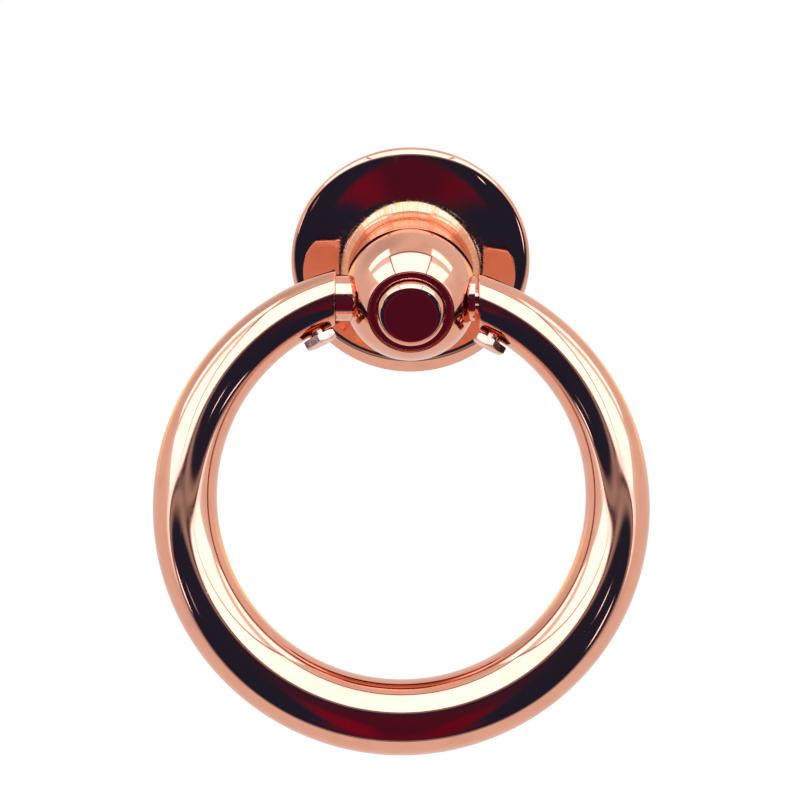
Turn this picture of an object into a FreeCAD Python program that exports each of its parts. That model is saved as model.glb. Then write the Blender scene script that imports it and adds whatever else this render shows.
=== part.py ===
import FreeCAD, Part
import math
import os
import re
import Sketcher

from FreeCAD import Placement, Rotation, Vector

# Ring pull handle, in millimetres.
# The origin is the middle of the rosette's back face. The drawer front is the plane Y = 0, the
# handle stands out towards -Y, +Z is up and +X is to the right of someone who faces the drawer.
# The ring hangs from two pins in the ball and is held open at ring_swing, as in the photograph.

SIZES = {
    # Rosette and neck, turned about one axis
    "rosette_radius": 16.75,
    "rim_thickness": 1.3,
    "rim_round": 0.6,
    "rim_back_round": 0.25,
    "dish_slope": 14.0,
    "flare_radius": 1.6,
    "neck_radius": 6.0,
    # Relief behind the rosette, between its rim and the boss round the fixing bore
    "relief_depth": 0.4,
    "relief_boss_radius": 5.2,
    "relief_land": 2.4,
    # Fixing bore for a machine screw from inside the drawer, at its tapping size
    "fixing_bore_radius": 1.65,
    "fixing_bore_depth": 10.0,
    "fixing_bore_chamfer": 0.35,
    "drill_point_angle": 31.0,
    # Ball, its two side flats and its counterbored front with the button
    "ball_reach": 13.4,
    "ball_radius": 9.3,
    "flat_depth": 0.74,
    "flat_edge_round": 0.15,
    "counterbore_width": 0.98,
    "counterbore_depth": 0.45,
    "counterbore_lip": 0.15,
    "button_radius": 4.77,
    "button_stand": 1.53,
    "button_round": 1.33,
    # Pivot: pins in the ball's cross bores, a little forward of the ball's middle
    "pivot_forward": 1.6,
    "journal_radius": 3.2,
    "journal_clearance": 0.05,
    "journal_length": 4.8,
    "journal_chamfer": 0.3,
    "cross_bore_web": 7.0,
    "pin_shank_radius": 1.1,
    "pin_shank_length": 4.6,
    "pin_hole_clearance": 0.04,
    "pin_hole_spare": 0.2,
    "right_pin_standoff": 0.47,
    # Ring: tube along a circle, thicker by the swell at the bottom and thinner at the top, cut open
    "tube_circle_radius": 29.68,
    "tube_radius": 4.42,
    "tube_swell": 0.79,
    "ring_end_room": 1.25,
    "ring_gap_off_centre": 0.8,
    "pin_above_tube_middle": 0.2,
    "ring_end_round": 0.3,
    "ring_side_play": 0.5,
    "ring_swing": 29.5,
    # Clamp screws that lock the pins, radial in the ring's ends
    "screw_inset": 5.0,
    "screw_thread_radius": 1.25,
    "screw_hole_clearance": 0.05,
    "screw_across_flats": 4.4,
    "screw_head_height": 1.15,
    "screw_head_standoff": 0.5,
    "screw_head_chamfer": 0.12,
    "left_screw_turn": 24.0,
    "right_screw_turn": 45.0,
}

# Sizes that follow from the ones above
FORMULAS = {
    "dish_reach": "rosette_radius - rim_round - neck_radius - flare_radius * (1 - sin(dish_slope))",
    "dish_radius": "dish_reach / sin(dish_slope)",
    "dish_foot_radius": "neck_radius + flare_radius * (1 - sin(dish_slope))",
    "dish_foot_height": "rim_thickness + dish_radius * (1 - cos(dish_slope))",
    "flare_top": "dish_foot_height + flare_radius * cos(dish_slope)",
    "neck_top": "ball_reach - sqrt(ball_radius ^ 2 - neck_radius ^ 2)",
    "counterbore_radius": "button_radius + counterbore_width",
    "lip_height": "ball_reach + sqrt(ball_radius ^ 2 - counterbore_radius ^ 2)",
    "button_height": "lip_height + button_stand",
    "half_flats": "ball_radius - flat_depth",
    "pivot_reach": "ball_reach + pivot_forward",
    "cross_bore_radius": "journal_radius + journal_clearance",
    "half_gap": "half_flats + ring_end_room",
    "ring_drop": "sqrt(tube_circle_radius ^ 2 - half_gap ^ 2) + pin_above_tube_middle",
    "first_section": "0.6 * asin(half_gap / tube_circle_radius)",
    "pin_hole_radius": "pin_shank_radius + pin_hole_clearance",
    "pin_hole_depth": "pin_shank_length + pin_hole_spare",
    "screw_hole_radius": "screw_thread_radius + screw_hole_clearance",
    "screw_corner_radius": "screw_across_flats / sqrt(3)",
}

# A side of the handle, or of a line's way along, as the sign that it gives a formula
LEFT = "-"
RIGHT = "+"


def expand(text):
    """Formula text with every size replaced by its cell, and every derived size by its formula."""

    def replace(match):
        word = match.group(0)
        if word in SIZES:
            return f"Sizes.{word}"
        if word in FORMULAS:
            return f"({expand(FORMULAS[word])})"
        return word

    return re.sub(r"[a-z_]+", replace, text)


def value(text):
    """Number that a formula gives with the sheet's present sizes."""
    return float(sheet.evalExpression(expand(text)))


def origin_plane(body, role):
    """The body's own origin plane with this role."""
    return next(plane for plane in body.Origin.OriginFeatures if plane.Role == role)


def new_body(name):
    """Empty body for one sub-part."""
    body = document.addObject("PartDesign::Body", name)
    body.Label = name
    return body


def new_sketch(body, name, role):
    """Sketch on one of the body's origin planes."""
    sketch = body.newObject("Sketcher::SketchObject", name)
    sketch.AttachmentSupport = [(origin_plane(body, role), "")]
    sketch.MapMode = "FlatFace"
    return sketch


def offset_sketch(sketch, axis, angle, **offsets):
    """Turn a sketch about one of its own axes and move it, by formulas."""
    sketch.AttachmentOffset = Placement(Vector(0, 0, 0), Rotation(axis, 1))
    sketch.setExpression("AttachmentOffset.Rotation.Angle", expand(angle))
    for direction, text in offsets.items():
        sketch.setExpression(f"AttachmentOffset.Base.{direction}", expand(text))


def bind(sketch, constraint, name, text):
    """Add a dimension to a sketch and bind it to a formula."""
    index = sketch.addConstraint(constraint)
    sketch.renameConstraint(index, name)
    sketch.setExpression(f"Constraints.{name}", expand(text))


def draw_profile(sketch, corners, arcs=None):
    """Closed outline through corners, given as pairs of formulas.

    arcs maps a side's number to its radius formula and the side of the chord, LEFT or RIGHT of
    the way along it, that its centre lies on. Every other side is straight.
    """
    arcs = arcs or {}
    points = [Vector(value(across), value(up), 0) for across, up in corners]
    ends = []
    for side, start in enumerate(points):
        finish = points[(side + 1) % len(points)]
        if side not in arcs:
            ends.append((sketch.addGeometry(Part.LineSegment(start, finish)), 1, 2))
            continue
        radius_text, centre_side = arcs[side]
        radius = value(radius_text)
        chord = finish - start
        aside = Vector(-chord.y, chord.x, 0).normalize()
        if centre_side == RIGHT:
            aside = -aside
        centre = (start + finish) / 2 + aside * math.sqrt(radius**2 - (chord.Length / 2) ** 2)
        first, last = (start, finish) if centre_side == LEFT else (finish, start)
        angles = [math.atan2(point.y - centre.y, point.x - centre.x) for point in (first, last)]
        arc = Part.ArcOfCircle(Part.Circle(centre, Vector(0, 0, 1), radius), *angles)
        along = (1, 2) if centre_side == LEFT else (2, 1)
        ends.append((sketch.addGeometry(arc), *along))
        bind(sketch, Sketcher.Constraint("Radius", ends[-1][0], radius), f"arc{side}", radius_text)
    for side, (geometry, begin, _) in enumerate(ends):
        before, _, before_end = ends[side - 1]
        sketch.addConstraint(Sketcher.Constraint("Coincident", before, before_end, geometry, begin))
        across, up = corners[side]
        pin_down(sketch, geometry, begin, side, across, up)


def pin_down(sketch, geometry, point, number, across, up):
    """Hold one corner at its distances from the sketch's axes, whose geometry is -2 and -1."""
    if across == "0":
        sketch.addConstraint(Sketcher.Constraint("PointOnObject", geometry, point, -2))
    else:
        distance = Sketcher.Constraint("DistanceX", -1, 1, geometry, point, value(across))
        bind(sketch, distance, f"across{number}", across)
    if up == "0":
        sketch.addConstraint(Sketcher.Constraint("PointOnObject", geometry, point, -1))
    else:
        distance = Sketcher.Constraint("DistanceY", -1, 1, geometry, point, value(up))
        bind(sketch, distance, f"up{number}", up)


def draw_circle(sketch, radius, across="0", up="0"):
    """Circle whose centre's distances from the sketch's axes are given by formulas."""
    centre = Vector(value(across), value(up), 0)
    circle = sketch.addGeometry(Part.Circle(centre, Vector(0, 0, 1), value(radius)))
    bind(sketch, Sketcher.Constraint("Radius", circle, value(radius)), "radius", radius)
    pin_down(sketch, circle, 3, 0, across, up)


def draw_hexagon(sketch, corner_radius, turn):
    """Regular hexagon about the sketch's origin, turned by an angle given by a formula."""
    radius = value(corner_radius)
    start = math.radians(value(turn))
    angles = [start + math.radians(60 * corner) for corner in range(6)]
    corners = [Vector(radius * math.cos(a), radius * math.sin(a), 0) for a in angles]
    sides = []
    for corner in range(6):
        line = Part.LineSegment(corners[corner], corners[(corner + 1) % 6])
        sides.append(sketch.addGeometry(line))
    circle = Part.Circle(Vector(0, 0, 0), Vector(0, 0, 1), radius)
    guide = sketch.addGeometry(circle, True)
    arm = sketch.addGeometry(Part.LineSegment(Vector(0, 0, 0), corners[0]), True)
    sketch.addConstraint(Sketcher.Constraint("Coincident", guide, 3, -1, 1))
    sketch.addConstraint(Sketcher.Constraint("Coincident", arm, 1, -1, 1))
    sketch.addConstraint(Sketcher.Constraint("Coincident", arm, 2, sides[0], 1))
    for corner in range(6):
        joined = (sides[corner - 1], 2, sides[corner], 1)
        sketch.addConstraint(Sketcher.Constraint("Coincident", *joined))
        sketch.addConstraint(Sketcher.Constraint("PointOnObject", sides[corner], 1, guide))
    for side in sides[1:]:
        sketch.addConstraint(Sketcher.Constraint("Equal", sides[0], side))
    bind(sketch, Sketcher.Constraint("Radius", guide, radius), "corner_radius", corner_radius)
    bind(sketch, Sketcher.Constraint("Angle", arm, start), "turn", turn)


def revolve(body, kind, name, sketch, axis):
    """Full turn of a sketch about one of its axes, as material or as a cut."""
    feature = body.newObject(f"PartDesign::{kind}", name)
    feature.Profile = sketch
    feature.ReferenceAxis = (sketch, [axis])
    feature.Angle = 360
    finish(body, feature)
    return feature


def extrude(body, kind, name, sketch, length=None, reverse=False):
    """Pad or pocket of a sketch, through everything where no length formula is given."""
    feature = body.newObject(f"PartDesign::{kind}", name)
    feature.Profile = sketch
    feature.Reversed = reverse
    if length is None:
        feature.Type = "ThroughAll"
    else:
        feature.setExpression("Length", expand(length))
    finish(body, feature)
    return feature


def round_edges(body, name, size, wanted, kind="Fillet"):
    """Fillet or chamfer every edge of the body so far that the test picks."""
    base = body.Tip
    edges = [f"Edge{n}" for n, edge in enumerate(base.Shape.Edges, start=1) if wanted(edge)]
    feature = body.newObject(f"PartDesign::{kind}", name)
    feature.Base = (base, edges)
    feature.setExpression("Radius" if kind == "Fillet" else "Size", expand(size))
    finish(body, feature)
    return feature


def finish(body, feature):
    """Make a feature the body's last one and compute it."""
    body.Tip = feature
    document.recompute()


def is_near(first, second):
    """Whether two lengths are the same."""
    return abs(first - second) < 1e-4


def is_circle(edge, radius):
    """Whether an edge lies on a circle of this radius."""
    return isinstance(edge.Curve, Part.Circle) and is_near(edge.Curve.Radius, radius)


def make_rosette_post():
    """Rosette, neck and ball in one casting; its height runs along its own +Y."""
    body = new_body("rosette_post")

    outline = new_sketch(body, "TurnedOutline", "XY_Plane")
    corners = [
        ("0", "0"),
        ("rosette_radius - rim_back_round", "0"),
        ("rosette_radius", "rim_back_round"),
        ("rosette_radius", "rim_thickness - rim_round"),
        ("rosette_radius - rim_round", "rim_thickness"),
        ("dish_foot_radius", "dish_foot_height"),
        ("neck_radius", "flare_top"),
        ("neck_radius", "neck_top"),
        ("counterbore_radius", "lip_height"),
        ("counterbore_radius", "lip_height - counterbore_depth"),
        ("button_radius", "lip_height - counterbore_depth"),
        ("button_radius", "button_height - button_round"),
        ("button_radius - button_round", "button_height"),
        ("0", "button_height"),
    ]
    arcs = {
        1: ("rim_back_round", LEFT),
        3: ("rim_round", LEFT),
        4: ("dish_radius", RIGHT),
        5: ("flare_radius", RIGHT),
        7: ("ball_radius", LEFT),
        11: ("button_round", LEFT),
    }
    draw_profile(outline, corners, arcs)
    revolve(body, "Revolution", "TurnedBody", outline, "V_Axis")

    lip_height = value("lip_height")
    lip_radius = value("counterbore_radius")
    round_edges(
        body,
        "CounterboreLip",
        "counterbore_lip",
        lambda edge: is_circle(edge, lip_radius) and is_near(edge.Curve.Center.y, lip_height),
    )

    relief = new_sketch(body, "BackReliefOutline", "XY_Plane")
    relief_corners = [
        ("relief_boss_radius", "0"),
        ("rosette_radius - relief_land", "0"),
        ("rosette_radius - relief_land - relief_depth", "relief_depth"),
        ("relief_boss_radius + relief_depth", "relief_depth"),
    ]
    draw_profile(relief, relief_corners)
    revolve(body, "Groove", "BackRelief", relief, "V_Axis")

    bore = new_sketch(body, "FixingBoreOutline", "XY_Plane")
    point_depth = "fixing_bore_depth + fixing_bore_radius * tan(drill_point_angle)"
    bore_corners = [
        ("0", "0"),
        ("fixing_bore_radius + fixing_bore_chamfer", "0"),
        ("fixing_bore_radius", "fixing_bore_chamfer"),
        ("fixing_bore_radius", "fixing_bore_depth"),
        ("0", point_depth),
    ]
    draw_profile(bore, bore_corners)
    revolve(body, "Groove", "FixingBore", bore, "V_Axis")

    for side, name in ((LEFT, "Left"), (RIGHT, "Right")):
        flat = new_sketch(body, f"{name}FlatOutline", "YZ_Plane")
        offset_sketch(flat, Vector(1, 0, 0), "0", z=f"{side} half_flats")
        draw_circle(flat, "ball_radius", across="ball_reach")
        extrude(body, "Pocket", f"{name}Flat", flat, "ball_radius", reverse=side == RIGHT)
    flat_radius = value("sqrt(ball_radius ^ 2 - half_flats ^ 2)")
    round_edges(
        body,
        "FlatEdges",
        "flat_edge_round",
        lambda edge: is_circle(edge, flat_radius),
    )

    for side, name in ((LEFT, "Left"), (RIGHT, "Right")):
        cross_bore = new_sketch(body, f"{name}CrossBoreOutline", "YZ_Plane")
        offset_sketch(cross_bore, Vector(1, 0, 0), "0", z=f"{side} cross_bore_web / 2")
        draw_circle(cross_bore, "cross_bore_radius", across="pivot_reach")
        extrude(body, "Pocket", f"{name}CrossBore", cross_bore, reverse=side == RIGHT)

    body.Placement = Placement(Vector(0, 0, 0), Rotation(Vector(1, 0, 0), 180))
    return body


def hang_on_pivot(body):
    """Place a piece of the ring: slid to one side on the pins and swung out about them."""
    body.Placement = Placement(Vector(0, 0, 0), Rotation(Vector(-1, 0, 0), 1))
    body.setExpression("Placement.Base.x", expand("-ring_side_play"))
    body.setExpression("Placement.Base.y", expand("-pivot_reach"))
    body.setExpression("Placement.Rotation.Angle", expand("ring_swing"))


def screw_angle(side):
    """Formula for a clamp screw's angle from the top of the ring's tube circle, in degrees."""
    across = f"(half_gap + screw_inset {side} ring_gap_off_centre)"
    return f"{side} atan({across} / ring_drop)"


def radial_sketch(body, name, side, height):
    """Sketch square to a clamp screw's axis, a distance out from the tube circle's centre."""
    sketch = new_sketch(body, name, "XY_Plane")
    angle = f"({screw_angle(side)})"
    offset_sketch(
        sketch,
        Vector(0, 1, 0),
        angle,
        x=f"-ring_gap_off_centre + ({height}) * sin({angle})",
        z=f"-ring_drop + ({height}) * cos({angle})",
    )
    return sketch


def make_pull_ring():
    """Open ring in its own X-Z plane, hanging from the pin axis through its origin."""
    body = new_body("pull_ring")

    sections = []
    gaps_between = 16
    for number in range(gaps_between + 1):
        section = new_sketch(body, f"Section{number}", "YZ_Plane")
        share = f"{number} / {gaps_between}"
        angle = f"(first_section * (1 - 2 * {share}) + 360 deg * {share})"
        offset_sketch(
            section, Vector(1, 0, 0), angle, y="-ring_drop", z="-ring_gap_off_centre"
        )
        draw_circle(section, f"tube_radius - tube_swell * cos({angle})", up="tube_circle_radius")
        sections.append(section)
    document.recompute()
    tube = body.newObject("PartDesign::AdditiveLoft", "CrescentTube")
    tube.Profile = sections[0]
    tube.Sections = sections[1:]
    tube.Ruled = False
    finish(body, tube)

    gap = new_sketch(body, "GapOutline", "YZ_Plane")
    offset_sketch(gap, Vector(1, 0, 0), "0", z="-half_gap")
    draw_circle(gap, "tube_circle_radius - tube_swell")
    extrude(body, "Pocket", "Gap", gap, "2 * half_gap", reverse=True)
    half_gap = value("half_gap")
    round_edges(
        body,
        "EndEdges",
        "ring_end_round",
        lambda edge: all(is_near(abs(corner.Point.x), half_gap) for corner in edge.Vertexes)
        and is_near(abs(edge.CenterOfMass.x), half_gap),
    )

    for side, name in ((LEFT, "Left"), (RIGHT, "Right")):
        pin_hole = new_sketch(body, f"{name}PinHoleOutline", "YZ_Plane")
        offset_sketch(pin_hole, Vector(1, 0, 0), "0", z=f"{side} half_gap")
        draw_circle(pin_hole, "pin_hole_radius")
        away = side == RIGHT
        extrude(body, "Pocket", f"{name}PinHole", pin_hole, "pin_hole_depth", reverse=away)
        screw_hole = radial_sketch(body, f"{name}ScrewHoleOutline", side, "0")
        draw_circle(screw_hole, "screw_hole_radius")
        depth = f"ring_drop / cos({screw_angle(side)})"
        extrude(body, "Pocket", f"{name}ScrewHole", screw_hole, depth, reverse=True)

    hang_on_pivot(body)
    return body


def make_pivot_pin(name, side, standoff):
    """Turned pin on the X axis, its shoulder a standoff in from the ring's end face."""
    body = new_body(name)
    shoulder = f"(half_gap - {standoff})"
    inner_end = f"({shoulder} - journal_length)"
    shank_end = "(half_gap + pin_shank_length)"
    outline = new_sketch(body, "TurnedOutline", "XY_Plane")
    corners = [
        (inner_end, "0"),
        (inner_end, "journal_radius - journal_chamfer"),
        (f"{inner_end} + journal_chamfer", "journal_radius"),
        (shoulder, "journal_radius"),
        (shoulder, "pin_shank_radius"),
        (shank_end, "pin_shank_radius"),
        (shank_end, "0"),
    ]
    if side == LEFT:
        corners = [(f"-{across}", up) for across, up in corners]
        corners[2] = (f"-({inner_end} + journal_chamfer)", "journal_radius")
    draw_profile(outline, corners)
    revolve(body, "Revolution", "TurnedPin", outline, "H_Axis")
    hang_on_pivot(body)
    return body


def make_clamp_screw(name, side, turn):
    """Hex-head screw from the ring's inner side to the pin's shank, along a radius."""
    body = new_body(name)
    angle = screw_angle(side)
    inner_wall = f"tube_circle_radius - tube_radius + tube_swell * cos({angle})"
    head_top = f"({inner_wall} - screw_head_standoff)"
    tip_drop = f"(pin_shank_radius + screw_thread_radius * sin(abs({angle})))"
    tip = f"((ring_drop - {tip_drop}) / cos({angle}))"

    head_outline = radial_sketch(body, "HexOutline", side, head_top)
    draw_hexagon(head_outline, "screw_corner_radius", turn)
    extrude(body, "Pad", "HexHead", head_outline, "screw_head_height", reverse=True)
    centre = Vector(value("-ring_gap_off_centre"), 0, value("-ring_drop"))
    end_face = value(f"{head_top} - screw_head_height")
    radians = math.radians(value(angle))
    outward = Vector(math.sin(radians), 0, math.cos(radians))
    round_edges(
        body,
        "HexEdges",
        "screw_head_chamfer",
        lambda edge: is_near((edge.CenterOfMass - centre).dot(outward), end_face),
        kind="Chamfer",
    )
    thread_outline = radial_sketch(body, "ThreadOutline", side, head_top)
    draw_circle(thread_outline, "screw_thread_radius")
    extrude(body, "Pad", "Thread", thread_outline, f"{tip} - {head_top}")
    hang_on_pivot(body)
    return body


def check_document():
    """Stop where any feature failed or any sub-part has no sound solid."""
    for feature in document.Objects:
        faults = {"Invalid", "Error"} & set(feature.State)
        if faults:
            raise RuntimeError(f"{feature.Name} in {feature.Label}: {feature.State}")
    for body in sub_parts:
        shape = body.Shape
        if shape.isNull() or not shape.isValid() or len(shape.Solids) != 1:
            raise RuntimeError(f"{body.Label} is not one valid solid")


document = FreeCAD.newDocument("RingPullHandle")
sheet = document.addObject("Spreadsheet::Sheet", "Sizes")
for row, (alias, size) in enumerate(SIZES.items(), start=1):
    sheet.set(f"A{row}", alias)
    sheet.set(f"B{row}", str(size))
    sheet.setAlias(f"B{row}", alias)
document.recompute()

sub_parts = [
    make_rosette_post(),
    make_pull_ring(),
    make_pivot_pin("pivot_pin_left", LEFT, "0"),
    make_pivot_pin("pivot_pin_right", RIGHT, "right_pin_standoff"),
    make_clamp_screw("clamp_screw_left", LEFT, "left_screw_turn"),
    make_clamp_screw("clamp_screw_right", RIGHT, "right_screw_turn"),
]
document.recompute()
check_document()

os.makedirs("parts", exist_ok=True)
for body in sub_parts:
    body.Shape.exportStep(f"parts/{body.Label}.step")
    box = body.Shape.BoundBox
    print(body.Label, f"{body.Shape.Volume:.1f} mm3, {box.XLength:.2f} x {box.YLength:.2f}")
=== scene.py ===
import logging
import math
from dataclasses import dataclass
from enum import Enum
from typing import Union

import bmesh
import bpy
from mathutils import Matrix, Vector


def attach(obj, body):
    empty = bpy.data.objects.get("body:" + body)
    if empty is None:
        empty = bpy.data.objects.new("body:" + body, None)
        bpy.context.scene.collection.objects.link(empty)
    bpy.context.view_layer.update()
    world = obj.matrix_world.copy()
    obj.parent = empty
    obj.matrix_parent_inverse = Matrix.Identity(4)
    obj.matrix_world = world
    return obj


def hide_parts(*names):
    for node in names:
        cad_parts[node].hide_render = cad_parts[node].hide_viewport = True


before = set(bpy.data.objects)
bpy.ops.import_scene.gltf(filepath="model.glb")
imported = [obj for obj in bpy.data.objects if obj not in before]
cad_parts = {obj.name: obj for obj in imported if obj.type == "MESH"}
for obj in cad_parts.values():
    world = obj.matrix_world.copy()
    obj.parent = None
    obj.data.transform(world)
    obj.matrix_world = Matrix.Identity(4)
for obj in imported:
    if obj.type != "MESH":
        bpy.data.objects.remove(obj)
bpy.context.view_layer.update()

logging.basicConfig(level=logging.INFO, format="%(levelname)s %(message)s")
log = logging.getLogger("ring_pull")

MM = 0.001
WHITE = (1.0, 1.0, 1.0, 1.0)

Tree = bpy.types.NodeTree
Socket = bpy.types.NodeSocket
Colour = tuple[float, float, float]
Profile = list[tuple[float, float]]
Operand = Union["Field", Socket, tuple, float]


# ---------------------------------------------------------------- arithmetic on node sockets


class Field:
    """A node's output that takes part in arithmetic, in any kind of node tree."""

    def __init__(self, tree: Tree, socket: Socket) -> None:
        """Wrap one output socket of a tree."""
        self.tree = tree
        self.socket = socket

    def math(self, operation: str, *others: Operand, clamp: bool = False) -> "Field":
        """Feed this field and others to one Math node.

        Args:
            operation: The Math node's operation.
            others: Further operands, fields or plain numbers.
            clamp: Whether the result is held between 0 and 1.

        Returns:
            The node's result.
        """
        plugs = dict(enumerate((self, *others)))
        node = add_node(self.tree, "ShaderNodeMath", plugs, operation=operation, use_clamp=clamp)
        return Field(self.tree, node.outputs[0])

    def __add__(self, other: Operand) -> "Field":
        """Sum."""
        return self.math("ADD", other)

    __radd__ = __add__

    def __sub__(self, other: Operand) -> "Field":
        """Difference."""
        return self.math("SUBTRACT", other)

    def __rsub__(self, other: Operand) -> "Field":
        """Difference from a number."""
        return (self * -1.0) + other

    def __mul__(self, other: Operand) -> "Field":
        """Product."""
        return self.math("MULTIPLY", other)

    def __truediv__(self, other: Operand) -> "Field":
        """Quotient."""
        return self.math("DIVIDE", other)

    def above(self, other: Operand) -> "Field":
        """1 where this field is the larger, otherwise 0."""
        return self.math("GREATER_THAN", other)

    def below(self, other: Operand) -> "Field":
        """1 where this field is the smaller, otherwise 0."""
        return self.math("LESS_THAN", other)

    def least(self, other: Operand) -> "Field":
        """Smaller of the two."""
        return self.math("MINIMUM", other)

    def most(self, other: Operand) -> "Field":
        """Larger of the two."""
        return self.math("MAXIMUM", other)

    def clamped(self) -> "Field":
        """This field held between 0 and 1."""
        return self.math("ADD", 0.0, clamp=True)

    def choose(self, when_one: Operand, when_zero: Operand) -> "Field":
        """Blend between two operands, with this field as the share of the first."""
        return (self * when_one) + ((1.0 - self) * when_zero)

    def ramp(self, low: float, high: float) -> "Field":
        """Smooth step between two values of this field.

        Args:
            low: Where the result is 0.
            high: Where the result is 1. It may be the smaller number.

        Returns:
            The step.
        """
        rising = low < high
        plugs = {
            "Value": self,
            "From Min": min(low, high),
            "From Max": max(low, high),
            "To Min": 0.0 if rising else 1.0,
            "To Max": 1.0 if rising else 0.0,
        }
        node = add_node(self.tree, "ShaderNodeMapRange", plugs, interpolation_type="SMOOTHSTEP")
        return Field(self.tree, node.outputs["Result"])


def add_node(tree: Tree, kind: str, plugs: dict, **settings: object) -> bpy.types.Node:
    """Add a node and fill its inputs.

    Args:
        tree: The tree to build in.
        kind: The node's type.
        plugs: Field, socket or plain value for each input, by the input's name or place.
        settings: The node's own attributes, set before its inputs.

    Returns:
        The new node.
    """
    node = tree.nodes.new(kind)
    for name, value in settings.items():
        setattr(node, name, value)
    for key, operand in plugs.items():
        plug(tree, operand, node.inputs[key])
    return node


def plug(tree: Tree, operand: Operand, target: Socket) -> None:
    """Link a field or a socket to an input, or write a plain value on it."""
    if isinstance(operand, Field):
        operand = operand.socket
    if isinstance(operand, Socket):
        tree.links.new(operand, target)
    else:
        target.default_value = operand


def split(tree: Tree, vector: Socket) -> tuple[Field, Field, Field]:
    """The three components of a vector socket."""
    node = add_node(tree, "ShaderNodeSeparateXYZ", {0: vector})
    return tuple(Field(tree, output) for output in node.outputs)


def combine(tree: Tree, x: Operand, y: Operand, z: Operand) -> Socket:
    """Vector socket made of three components."""
    return add_node(tree, "ShaderNodeCombineXYZ", {0: x, 1: y, 2: z}).outputs[0]


def noise(tree: Tree, vector: Socket, scale: Operand, detail: float) -> Field:
    """Noise texture's value at a vector."""
    plugs = {"Vector": vector, "Scale": scale, "Detail": detail, "Roughness": 0.55}
    return Field(tree, add_node(tree, "ShaderNodeTexNoise", plugs).outputs["Fac"])


def blend(tree: Tree, mask: Field, under: Socket | Colour, over: Socket | Colour) -> Socket:
    """Colour that passes from one to another.

    Args:
        tree: The tree to build in.
        mask: Share of the second colour.
        under: First colour.
        over: Second colour.

    Returns:
        The colour socket.
    """
    plugs = {"Factor": mask}
    for place, colour in ((6, under), (7, over)):
        plugs[place] = (*colour, 1.0) if isinstance(colour, tuple) else colour
    return add_node(tree, "ShaderNodeMix", plugs, data_type="RGBA").outputs[2]


# ---------------------------------------------------------------- meshes


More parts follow.
